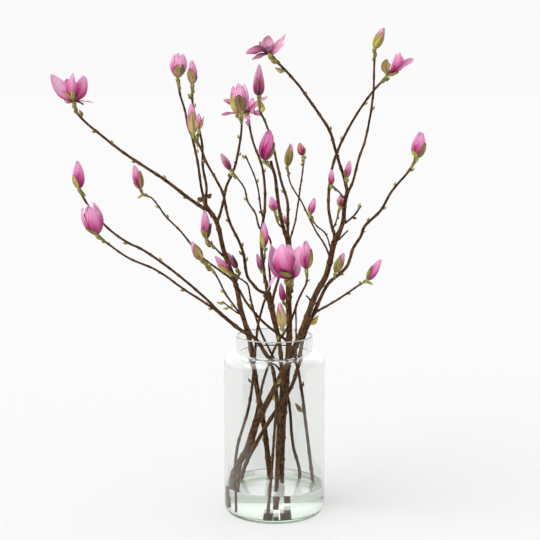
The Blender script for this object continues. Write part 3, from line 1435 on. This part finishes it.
BRANCHES: dict[str, Branch] = {
    "branch_far_left": Branch({
        "trunk": Limb(5.4, 4.2, (
            (-6, 59, 24), (-19, 50, 147), (-33, 36, 230), (-49, 18, 338), (-64, 16, 392), (-72, 17, 434),
            (-95, 18, 500), (-109, 12, 559), (-129, 10, 590), (-131, 8, 605))),
        "far left": Limb(3.3, 2.1, (
            (-127, 10, 580), (-164, 22, 604), (-201, 31, 632), (-290, 53, 689), (-375, 76, 759),
            (-381, 80, 776))),
        "left upright": Limb(2.5, 1.9, (
            (-129, 9, 594), (-136, 12, 617), (-144, 19, 672), (-155, 25, 719), (-162, 28, 737),
            (-167, 32, 763), (-177, 36, 798), (-181, 40, 824))),
        "right upright": Limb(2.5, 1.9, (
            (-129, 9, 594), (-127, 2, 627), (-133, -4, 661), (-134, -12, 708), (-150, -24, 780),
            (-150, -30, 815))),
        "centre": Limb(2.6, 1.9, (
            (-108, 12, 557), (-100, -8, 580), (-93, -25, 608), (-89, -33, 628), (-72, -52, 668),
            (-60, -83, 733), (-58, -100, 767))),
        "centre twig": Limb(1.5, 1.3, ((-59, -91, 749), (-68, -82, 763))),
        "left twig": Limb(1.9, 1.5, ((-98, 17, 494), (-127, -14, 528))),
        "right twig": Limb(1.7, 1.4, ((-73, 16, 443), (-67, 21, 458), (-70, 24, 467))),
    }, (
        *leaf_buds("far left", (0.91, RIGHT, 15, 7)),
        *leaf_buds("left upright", (0.03, LEFT, 13, 10, DARK, 60)),
        *leaf_buds("right upright", (0.05, RIGHT, 12, 9, DARK, 45)),
        *leaf_buds("trunk", (0.17, LEFT, 9, 5, YELLOW_GREEN, 30), (0.3, LEFT, 10, 5, YELLOW_GREEN, 20)),
        *leaf_buds("left twig", (0.5, FRONT, 22, 7, OLIVE, 8), (0.62, LEFT, 18, 6, OLIVE, 14)),
        *leaf_buds("far left", (0.79, LEFT, 9, 4), (0.67, RIGHT, 8, 4), (0.5, LEFT, 9, 4),
            (0.3, RIGHT, 10, 4), (0.14, LEFT, 8, 4), (0.06, RIGHT, 8, 4)),
        *leaf_buds("left upright", (0.4, RIGHT, 9, 4)),
        *leaf_buds("right upright", (0.81, RIGHT, 9, 4), (0.88, LEFT, 13, 5)),
        *leaf_buds("centre", (0.78, LEFT, 10, 4), (0.64, RIGHT, 9, 4), (0.44, LEFT, 10, 5)),
    ), {
        "far_left_open_flower": Flower("far left", (
            Tepal((-409, 76, 806), (-424, 76, 833), 30, 0.12, 90, -62, 0.4),
            Tepal((-383, 58, 806), (-379, 62, 836), 21, 0.9, 100),
            Tepal((-364, 78, 806), (-363, 76, 830), 30, 0.15, 110, -48, 0.35),
            Tepal((-396, 104, 804), (-398, 102, 824), 27, 0.3),
            Tepal((-365, 90, 781), (-346, 92, 778), 9, 0.9, 60)), (
            Tepal((-381, 62, 794), (-381, 60, 809), 8, 0.8, 110, 0, 0.4, YELLOW_GREEN),
            Tepal((-391, 66, 792), (-399, 64, 801), 6, 0.8, 100, 0, 0.4, YELLOW_GREEN),
            Tepal((-390, 66, 778), (-398, 64, 784), 8, 0.7, 110, 0, 0.4, OLIVE),
            Tepal((-371, 70, 779), (-361, 68, 775), 8, 0.7, 110, 0, 0.4, DARK))),
        "far_left_bud_1": Bud("left upright", (-178, 34, 874), 31, (
            Bract(112, 0.62, 140, BROWN, 1.0), Bract(255, 0.3, 120, BROWN)), PALE, 0.55, 0.95),
        "far_left_bud_2": Bud("right upright", (-150, -34, 860), 18, (
            Bract(70, 0.66, 165, BROWN, 0.9, 0.5), Bract(190, 0.3, 100, DARK, 1))),
        "far_left_bud_3": Bud("centre twig", (-75, -74, 814), 17, (
            Bract(60, 0.72, 160, YELLOW_GREEN, 0.8, 0.5),)),
        "far_left_bud_4": Bud("left twig", (-130, -18, 585), 18, (
            Bract(165, 0.55, 120, DARK, 1.2, 3), Bract(50, 0.4, 150, OLIVE, 1))),
        "far_left_bud_5": Bud("right twig", (-90, 32, 498), 12, (Bract(170, 0.75, 130, DARK, 1, 1.5),),
            ROSE),
        "far_left_full_flower": Bud("centre", (-61, -108, 820), 27, (
            Bract(80, 0.64, 120, BROWN, 1.1, 1), Bract(230, 0.4, 110, BROWN)), PALE, 0.55, 0.85),
    }),
    "branch_low_left": Branch({
        "trunk": Limb(3.9, 3.4, (
            (16, 42, 14), (9, 25, 153), (3, 8, 236), (-8, -6, 298), (-18, -12, 312), (-26, -18, 329),
            (-43, -26, 348), (-63, -32, 360), (-103, -42, 395))),
        "upper": Limb(2.5, 1.9, (
            (-100, -41, 393), (-136, -45, 430), (-206, -52, 489), (-249, -54, 518), (-266, -55, 526),
            (-306, -57, 555), (-341, -59, 598), (-356, -60, 626))),
        "lower": Limb(2.2, 1.7, (
            (-99, -42, 392), (-135, -70, 423), (-158, -82, 440), (-213, -112, 485), (-262, -134, 511),
            (-312, -160, 553))),
    }, (
        *leaf_buds("upper", (0.42, RIGHT, 9, 4), (0.62, LEFT, 10, 4)),
        *leaf_buds("lower", (0.32, LEFT, 9, 4), (0.08, LEFT, 9, 4)),
    ), {
        "low_left_bud": Bud("upper", (-358, -62, 679), 22, (Bract(35, 0.5, 130, YELLOW_GREEN, 0.8),)),
        "low_left_full_bud": Bud("lower", (-326, -172, 611), 35, (Bract(40, 0.36, 130, OLIVE, 1, 1),),
            PINK, 0.8, 0.9),
    }),
    "branch_slim_left": Branch({
        "trunk": Limb(3.4, 1.5, (
            (80, 20, 14), (63, 38, 150), (55, 44, 215), (45, 50, 272), (30, 54, 314), (-22, 59, 359),
            (-53, 62, 395), (-80, 70, 437), (-139, 82, 481), (-183, 99, 531), (-209, 108, 556),
            (-241, 135, 592), (-257, 144, 597), (-263, 150, 606))),
    }, (
        *leaf_buds("trunk", (0.235, LEFT, 24, 9, OLIVE, 36), (0.3, RIGHT, 12, 4, DARK, 20),
            (0.88, RIGHT, 8, 4), (0.92, LEFT, 9, 4), (0.97, RIGHT, 8, 4),
            (0.985, LEFT, 14, 5, YELLOW_GREEN, 75)),
    ), {
        "slim_left_bud": Bud("trunk", (-276, 154, 655), 20, (
            Bract(160, 0.72, 125, BROWN, 1.2, 2), Bract(20, 0.3, 120, BROWN))),
    }),
    "branch_leafy_left": Branch({
        "trunk": Limb(2.8, 1.6, (
            (-12, -78, 14), (0, -70, 176), (3, -66, 227), (2, -62, 270), (-16, -55, 323), (-39, -50, 349),
            (-54, -49, 379), (-90, -46, 430), (-112, -43, 471), (-135, -40, 492))),
        "leafy shoot": Limb(1.4, 1.2, ((-64, -48, 394), (-69, -54, 397), (-96, -72, 421))),
    }, (
        *leaf_buds("trunk", (0.42, LEFT, 10, 5, YELLOW_GREEN, 30), (0.48, RIGHT, 14, 7, OLIVE, 40),
            (0.86, LEFT, 9, 4), (0.93, FRONT, 20, 6, OLIVE, 8), (0.95, LEFT, 15, 6, OLIVE, 14)),
        *leaf_buds("leafy shoot", (0.5, RIGHT, 12, 5, YELLOW_GREEN, 40),
            (0.6, LEFT, 13, 5, YELLOW_GREEN, 50), (0.9, LEFT, 15, 5, YELLOW_GREEN)),
    ), {
        "leafy_left_bud": Bud("trunk", (-153, -44, 529), 17, (
            Bract(120, 0.84, 190, TAN, 0.8, 0.5), Bract(280, 0.6, 170, YELLOW_GREEN, 0.9))),
    }),
    "branch_thin_left": Branch({
        "trunk": Limb(3.3, 1.5, (
            (50, 60, 24), (50, 60, 63), (37, 58, 114), (29, 54, 198), (17, 47, 251), (-25, 34, 342),
            (-44, 30, 403), (-50, 23, 435), (-57, 14, 445), (-85, -3, 463))),
    }, (
        *leaf_buds("trunk", (0.8, LEFT, 9, 4)),
    ), {
        "thin_left_bud": Bud("trunk", (-111, -10, 497), 16, (
            Bract(30, 0.62, 170, YELLOW_GREEN, 0.8, 0.5),)),
    }),
    "branch_star": Branch({
        "trunk": Limb(4.3, 3.8, (
            (2, -14, 14), (5, -12, 69), (8, -4, 161), (14, 4, 239), (13, 10, 294), (5, 16, 349),
            (-11, 22, 412), (-16, 28, 444))),
        "star": Limb(3, 2, (
            (-17, 29, 440), (-25, 52, 506), (-24, 61, 538), (-19, 70, 571), (-18, 85, 611),
            (-23, 100, 653), (-42, 137, 703), (-52, 170, 750))),
        "left middle": Limb(2.9, 2.1, (
            (-13, 24, 419), (-29, 28, 425), (-41, 32, 437), (-51, 34, 450), (-60, 20, 502),
            (-85, -20, 567), (-93, -42, 610), (-98, -48, 626), (-125, -54, 677), (-133, -56, 699),
            (-148, -56, 724))),
        "left middle twig": Limb(1.5, 1.3, ((-140, -56, 710), (-137, -72, 734))),
        "leafy twig": Limb(1.8, 1.4, ((-21, 66, 558), (-25, 50, 574), (-33, 30, 628), (-54, 0, 684))),
        "mid twig": Limb(1.6, 1.4, (
            (-20, 41, 478), (-18, 20, 491), (-18, 0, 499), (-18, -18, 506), (-19, -34, 516))),
        "knot": Limb(6.2, 4.6, ((-14, 30, 418), (-8, 24, 404), (-1, 18, 374), (6, 13, 345))),
        "old stub": Limb(2.8, 2.4, ((-5, 20, 402), (1, 6, 430), (7, -6, 451), (9, -14, 463))),
        "low twig": Limb(1.5, 1.2, ((-18, 32, 456), (-25, 20, 465))),
    }, (
        *leaf_buds("trunk", (0.72, FRONT, 16, 5, YELLOW_GREEN, 10)),
        *leaf_buds("left middle", (0.23, RIGHT, 11, 5), (0.27, LEFT, 12, 5), (0.32, RIGHT, 10, 4),
            (0.5, LEFT, 9, 4), (0.67, RIGHT, 9, 4), (0.85, LEFT, 9, 4)),
        *leaf_buds("leafy twig", (0.57, RIGHT, 9, 4), (0.13, LEFT, 8, 4), (0.96, LEFT, 12, 5)),
        *leaf_buds("star", (0.62, RIGHT, 9, 4)),
    ), {
        "star_flower": Flower("star", (
            Tepal((-77, 158, 774), (-100, 160, 782), 15, 0.3, 60),
            Tepal((-79, 152, 755), (-104, 150, 753), 15, 0.7, 60),
            Tepal((-53, 148, 747), (-51, 140, 731), 11, 0.5, 60),
            Tepal((-39, 156, 761), (-26, 158, 751), 19, 0.3, 60, 0, 0.4),
            Tepal((-33, 170, 774), (-13, 172, 788), 11, 0.5, 80, 0, 0.4),
            Tepal((-45, 188, 772), (-43, 195, 785), 15, 0.3, 60)), (
            Tepal((-53, 160, 751), (-55, 154, 757), 8, 0.6, 110, 0, 0.4, YELLOW_GREEN),), DUSK),
        "star_bud_1": Bud("left middle", (-151, -56, 783), 19, (
            Bract(100, 0.74, 135, TAN, 0.9), Bract(280, 0.5, 130, OLIVE, 0.8))),
        "star_bud_2": Bud("left middle twig", (-136, -74, 765), 12, (
            Bract(25, 0.6, 160, TAN, 0.8), Bract(175, 0.8, 120, TAN, 1.5, 4))),
        "star_bud_3": Bud("mid twig", (-19, -40, 565), 16, (Bract(25, 0.66, 160, YELLOW_GREEN, 0.8),)),
        "star_bud_4": Bud("low twig", (-33, 16, 498), 10, (Bract(20, 0.3, 130, OLIVE, 0.6),), ROSE),
    }),
    "branch_thin_middle": Branch({
        "trunk": Limb(3.1, 1.5, (
            (-75, 5, 14), (-72, 0, 120), (-50, -8, 201), (-42, -10, 250), (-34, -8, 340), (-30, -4, 370),
            (-20, 9, 404), (-9, 12, 431), (-8, 12, 444), (-10, 1, 484), (-7, -10, 521), (-12, -14, 535),
            (-28, -22, 552), (-35, -29, 578), (-49, -36, 601), (-56, -46, 628), (-80, -60, 661))),
    }, (
        *leaf_buds("trunk", (0.355, LEFT, 12, 4, DARK, 45), (0.9, LEFT, 9, 4)),
    ), {
        "thin_middle_bud": Bud("trunk", (-98, -64, 692), 13, (Bract(200, 0.2, 120, YELLOW_GREEN, 0.6),),
            ROSE),
    }),
    "branch_middle": Branch({
        "trunk": Limb(6.3, 5.4, (
            (13, 61, 24), (16, 50, 147), (20, 42, 200), (24, 31, 262), (28, 10, 333), (27, -4, 433),
            (29, -8, 453), (27, -8, 500), (26, -8, 527))),
        "left upright": Limb(3.7, 2.8, (
            (26, -8, 521), (16, -24, 553), (8, -35, 592), (0, -51, 652), (-5, -56, 668), (-7, -56, 678))),
        "right upright": Limb(2.8, 1.9, (
            (26, -8, 523), (25, 4, 540), (25, 18, 587), (23, 22, 601), (12, 30, 636), (-3, 40, 699),
            (-18, 50, 745), (-27, 54, 764), (-30, 60, 791))),
        "upper twig": Limb(1.9, 1.7, ((-3, -54, 662), (-19, -60, 678))),
        "right twig": Limb(1.8, 1.4, (
            (27, -9, 521), (36, -46, 558), (38, -51, 566), (47, -95, 639), (51, -129, 679),
            (50, -140, 692))),
        "inner twig": Limb(1.6, 1.3, ((17, -23, 551), (11, -36, 556), (5, -44, 566), (1, -52, 584))),
        "back twig": Limb(1.3, 1.1, ((25, 6, 545), (23, 14, 552))),
        "spur": Limb(4.2, 3.6, ((30, -8, 430), (32, -31, 456))),
        "low twig": Limb(1.6, 1.4, ((25, 2, 396), (17, 16, 405))),
    }, (
        *leaf_buds("right upright", (0.34, LEFT, 9, 4), (0.7, RIGHT, 9, 4), (0.89, RIGHT, 20, 9)),
        *leaf_buds("trunk", (0.41, RIGHT, 14, 5, YELLOW_GREEN, 70), (0.83, LEFT, 16, 7)),
    ), {
        "middle_cup_flower": Flower("spur", (
            Tepal((18, -74, 494), (13, -62, 527), 42, 0.35, 100, 0, 0.32),
            Tepal((-1, -50, 494), (-7, -46, 525), 40, 0.3, 100, -50, 0.36),
            Tepal((30, -25, 491), (26, -26, 522), 34, 0.3, 110, 0, 0.35),
            Tepal((41, -48, 489), (46, -44, 521), 34, 0.4, 100, 48, 0.38),
            Tepal((8, -50, 468), (-14, -58, 439), 9, 0.6, 80)), (
            Tepal((21, -60, 465), (8, -68, 477), 16, 0.5, 120, 0, 0.4, OLIVE),
            Tepal((28, -52, 455), (22, -54, 446), 9, 0.6, 110, 0, 0.4, YELLOW_GREEN)), PINK),
        "middle_full_bud": Bud("upper twig", (-9, -70, 736), 27, (Bract(172, 0.62, 110, BROWN, 1.4, 1),),
            MAGENTA, 0.2),
        "middle_tall_bud": Bud("right upright", (-29, 64, 852), 22, (), ROSE, 0.0, 0.56),
        "middle_bud_1": Bud("right twig", (43, -143, 716), 14, (Bract(190, 0.5, 150, TAN, 0.7),), RED),
        "middle_bud_2": Bud("inner twig", (-7, -56, 613), 15, (Bract(20, 0.5, 140, OLIVE, 0.8),)),
        "middle_bud_3": Bud("back twig", (18, 22, 570), 7, (Bract(20, 0.4, 140, OLIVE, 0.4),)),
        "middle_bud_4": Bud("low twig", (12, 20, 441), 12, (Bract(180, 0.35, 120, BROWN, 0.6),), MAGENTA),
    }),
    "branch_slim_front": Branch({
        "trunk": Limb(2.9, 1.8, (
            (-68, -46, 14), (-65, -45, 94), (-35, -42, 199), (-20, -42, 267), (1, -45, 329),
            (26, -52, 372), (45, -70, 427), (58, -100, 462), (57, -120, 487))),
        "hanging twig": Limb(1.6, 1.2, ((39, -62, 408), (40, -55, 353), (39, -52, 300))),
        "low twig": Limb(1.6, 1.5, ((19, -49, 360), (15, -57, 367))),
    }, (
        *leaf_buds("trunk", (0.94, RIGHT, 8, 4)),
    ), {
        "slim_front_bud_1": Bud("trunk", (55, -130, 542), 23, (Bract(165, 0.72, 115, OLIVE, 1.2, 1),),
            PINK, 0.1),
        "slim_front_bud_2": Bud("low twig", (9, -66, 419), 17, (
            Bract(30, 0.86, 190, TAN, 0.8), Bract(160, 0.92, 210, TAN, 1.1))),
    }),
    "branch_right": Branch({
        "trunk": Limb(6, 5.2, (
            (-76, -14, 14), (-80, -16, 68), (-44, -20, 143), (-34, -22, 177), (12, -25, 271),
            (45, -24, 342), (78, -16, 426), (96, -12, 459), (112, -4, 524))),
        "back": Limb(2.9, 2.1, (
            (112, -5, 521), (112, 4, 536), (108, 12, 549), (102, 28, 586), (104, 44, 620), (114, 67, 670),
            (147, 104, 737), (192, 142, 799), (219, 160, 826))),
        "middle": Limb(4.4, 3.9, (
            (111, -5, 520), (124, -14, 550), (128, -17, 567), (129, -20, 591), (135, -22, 620))),
        "front": Limb(2.9, 2.1, (
            (135, -22, 616), (131, -30, 633), (113, -50, 690), (101, -61, 729), (85, -70, 756),
            (47, -88, 809), (28, -96, 832), (-6, -110, 866))),
        "tall": Limb(2.4, 1.9, (
            (135, -22, 617), (142, -14, 628), (147, -9, 642), (157, 4, 678), (168, 13, 707),
            (178, 26, 752), (185, 39, 798), (188, 60, 879))),
        "long twig": Limb(1.8, 1.4, (
            (104, -9, 493), (96, 8, 512), (76, 40, 543), (53, 72, 588), (31, 112, 623), (25, 140, 652))),
        "front twig": Limb(1.6, 1.3, ((107, -8, 504), (94, -38, 542), (76, -59, 560), (64, -80, 581))),
        "upper twig": Limb(1.6, 1.3, ((132, -21, 602), (120, -38, 618), (103, -56, 633))),
        "fork twig": Limb(1.5, 1.3, ((132, -26, 627), (132, -38, 636), (131, -46, 645))),
        "inner twig": Limb(1.5, 1.3, ((108, 10, 545), (113, 2, 554), (122, -8, 588))),
        "dead twig": Limb(1.9, 1.6, ((126, -16, 558), (130, -24, 560), (146, -37, 575), (158, -50, 595))),
        "dead stub": Limb(1.9, 1.6, ((113, -5, 523), (119, -16, 528), (135, -40, 548))),
        "cut stub": Limb(1.8, 1.3, ((70, -17, 412), (59, -30, 425))),
    }, (
        *leaf_buds("trunk", (0.19, RIGHT, 14, 4, DARK, 40)),
        *leaf_buds("back", (0.56, LEFT, 9, 4), (0.8, RIGHT, 9, 4), (0.98, RIGHT, 13, 5)),
        *leaf_buds("tall", (0.59, RIGHT, 10, 4)),
        *leaf_buds("dead twig", (0.9, LEFT, 12, 5, YELLOW_GREEN, 10), (0.5, RIGHT, 8, 5, DARK, 50),
            (0.2, LEFT, 8, 6, DARK, 50)),
        *leaf_buds("front", (0.42, RIGHT, 9, 4), (0.88, LEFT, 20, 8), (0.95, LEFT, 12, 5),
            (0.98, LEFT, 10, 5)),
    ), {
        "right_open_flower": Flower("back", (
            Tepal((229, 154, 851), (236, 156, 872), 20, 0.3, 110, 0, 0.4),
            Tepal((250, 158, 846), (272, 160, 861), 24, 0.15, 90, -50, 0.4),
            Tepal((238, 146, 853), (243, 152, 875), 16, 0.6, 110),
            Tepal((241, 176, 849), (250, 174, 867), 24, 0.3, 110),
            Tepal((232, 150, 831), (241, 148, 834), 9, 0.7, 60)), (
            Tepal((217, 140, 845), (219, 140, 860), 19, 0.1, 100, 65, 0.45, TAN),
            Tepal((229, 146, 829), (242, 146, 836), 8, 0.4, 110, 0, 0.3, YELLOW_GREEN)), PINK),
        "right_top_flower": Flower("front", (
            Tepal((-11, -98, 885), (-12, -100, 903), 25, 0.12, 80, 0, 0.42),
            Tepal((-31, -118, 877), (-51, -118, 871), 16, 0.4, 80),
            Tepal((-26, -108, 866), (-41, -104, 859), 13, 0.7, 60, 0, 0.4),
            Tepal((6, -110, 885), (20, -112, 906), 13, 0.75, 70, 70, 0.35),
            Tepal((5, -118, 877), (18, -120, 889), 13, 0.8, 70, 70, 0.35),
            Tepal((-19, -88, 881), (-28, -84, 891), 14, 0.3, 60)), (
            Tepal((-8, -116, 866), (-12, -120, 873), 8, 0.6, 110, 0, 0.4, YELLOW_GREEN),), DUSK),
        "right_bud_1": Bud("tall", (205, 56, 920), 18, (
            Bract(130, 0.97, 220, YELLOW_GREEN, 0.6), Bract(300, 0.92, 220, YELLOW_GREEN, 0.8))),
        "right_bud_2": Bud("long twig", (33, 146, 698), 16, (
            Bract(60, 0.95, 210, OLIVE, 0.6), Bract(220, 0.92, 210, OLIVE, 0.8))),
        "right_bud_3": Bud("front twig", (72, -84, 613), 13, (Bract(30, 0.4, 150, OLIVE, 0.6),)),
        "right_bud_4": Bud("upper twig", (104, -60, 663), 11, (Bract(170, 0.4, 150, OLIVE, 0.6),)),
        "right_bud_5": Bud("fork twig", (137, -52, 678), 13, (Bract(20, 0.45, 150, OLIVE, 0.6),)),
        "right_bud_6": Bud("inner twig", (122, -10, 612), 12, (Bract(20, 0.6, 170, TAN, 0.6),)),
    }),
    "branch_far_right": Branch({
        "trunk": Limb(4, 3.4, (
            (-70, 35, 14), (-59, 38, 74), (-32, 36, 130), (-5, 32, 177), (31, 20, 237), (44, 12, 276),
            (56, 2, 342), (80, -12, 401))),
        "upper": Limb(3.4, 1.9, (
            (76, -10, 391), (84, -15, 413), (95, -20, 437), (103, -25, 450), (124, -40, 470),
            (134, -49, 484), (140, -60, 504), (143, -63, 517), (158, -71, 543), (163, -75, 559),
            (192, -87, 591), (211, -98, 627), (238, -111, 662), (252, -120, 686))),
        "lower": Limb(2.2, 1.6, ((75, -10, 389), (109, -70, 420), (158, -150, 469), (163, -170, 475))),
        "upper twig": Limb(1.4, 1.2, ((111, -30, 456), (112, -42, 469))),
    }, (
        *leaf_buds("upper", (0.26, RIGHT, 8, 4), (0.59, LEFT, 9, 4), (0.69, RIGHT, 9, 4),
            (0.82, LEFT, 9, 4), (0.93, RIGHT, 10, 4)),
        *leaf_buds("lower", (0.6, RIGHT, 9, 4), (0.83, LEFT, 9, 4),
            (0.97, RIGHT, 14, 5, YELLOW_GREEN, 55)),
        *leaf_buds("trunk", (0.91, RIGHT, 24, 10, YELLOW_GREEN, 18)),
    ), {
        "far_right_bud_1": Bud("upper", (258, -126, 735), 25, (
            Bract(155, 0.62, 130, BROWN, 1, 1), Bract(40, 0.3, 120, YELLOW_GREEN)), PINK, 0.3),
        "far_right_bud_2": Bud("lower", (187, -176, 514), 16, (Bract(15, 0.6, 150, OLIVE, 0.8),)),
        "far_right_bud_3": Bud("upper twig", (128, -48, 508), 16, (
            Bract(60, 0.86, 200, OLIVE, 0.8), Bract(210, 0.8, 190, BROWN, 0.9))),
    }),
}


# ------------------------------------------------------------------ studio


@dataclass
class Studio:
    """White floor, soft lamps and the camera of the photograph."""

    camera_place: Point = (-8.4, -2690.0, 866.0)
    pitch_down: float = 8.4
    lens: float = 96.47
    sensor: float = 36.0
    backdrop: float = 0.957
    fill: float = 0.62
    room_dark: float = 0.1
    room_dim: float = 1.0
    window: float = 1.7
    sun: float = 1.75
    sun_softness: float = 55.0
    floor_size: float = 60.0
    window_side: Point = (-0.45, 0.89, 0.0)
    sun_from: Point = (-0.75, -0.55, 1.0)

    def _camera(self) -> None:
        """The camera, which looks along +Y and a little down."""
        data = bpy.data.cameras.new("camera")
        data.lens, data.sensor_width = self.lens, self.sensor
        data.clip_start, data.clip_end = 0.05, 200.0
        made = show("camera", data)
        made.location = vec(self.camera_place)
        made.rotation_euler = (math.radians(90 - self.pitch_down), 0, 0)
        bpy.context.scene.camera = made

    def _world(self) -> None:
        """Soft light all round; the glass shows a room that is dark on its right and front."""
        world = bpy.data.worlds.new("studio")
        world.use_nodes = True
        recipe = Recipe(world.node_tree)
        path = recipe.node("LightPath").outputs
        towards = recipe.node("TexCoord").outputs["Generated"]
        facing = recipe.vectors("DOT_PRODUCT", towards, self.window_side, output="Value")
        mirrored = path["Is Glossy Ray"]
        dark = recipe.spread(mirrored, 0.0, 1.0, self.room_dim, self.room_dark)
        bright = recipe.spread(mirrored, 0.0, 1.0, self.backdrop, self.window)
        room = recipe.spread(facing, -0.7, 0.6, dark, bright)
        sight = recipe.spread(path["Is Camera Ray"], 0.0, 1.0, room, self.backdrop)
        lighting = recipe.spread(path["Diffuse Depth"], 0.0, 1.0)
        strength = recipe.spread(lighting, 0.0, 1.0, sight, self.fill)
        light = recipe.node("Background", {"Color": (1, 1, 1), "Strength": strength})
        recipe.node("OutputWorld", {"Surface": light.outputs[0]})
        bpy.context.scene.world = world

    def _sun(self) -> None:
        """The main lamp, a broad soft one high on the left."""
        data = bpy.data.lights.new("key", "SUN")
        data.energy = self.sun
        data.angle = math.radians(self.sun_softness)
        direction = Vector(self.sun_from).to_track_quat("Z", "Y")
        show("key", data).rotation_euler = direction.to_euler()

    def _floor(self) -> None:
        """The plain floor."""
        bm = bmesh.new()
        bmesh.ops.create_grid(bm, x_segments=1, y_segments=1, size=self.floor_size / 2)
        mesh = bpy.data.meshes.new("floor")
        bm.to_mesh(mesh)
        bm.free()
        mesh.materials.append(FLOOR.material())
        show("floor", mesh)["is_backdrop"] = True

    def build(self) -> None:
        """Makes the camera, the light and the floor."""
        self._camera()
        self._world()
        self._sun()
        self._floor()
        bpy.context.scene.view_settings.view_transform = "Standard"


def corners(box: tuple[Vector, Vector]) -> list[list[float]]:
    """A box's corners as plain lists."""
    return [list(corner) for corner in box]


def main() -> None:
    """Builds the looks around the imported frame."""
    logging.basicConfig(level=logging.INFO, format="%(name)s: %(message)s")
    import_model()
    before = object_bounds()
    Studio().build()
    Vase().build()
    for name, branch in BRANCHES.items():
        Wood(name, branch).build()
        for blossom_name, made_of in branch.blossoms.items():
            Blossom(blossom_name, branch.limbs[made_of.limb], made_of).build()
    sizes = {"cad": corners(before), "visual": corners(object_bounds())}
    log.info("boxes: %s", sizes)


if __name__ == "__main__":
    main()
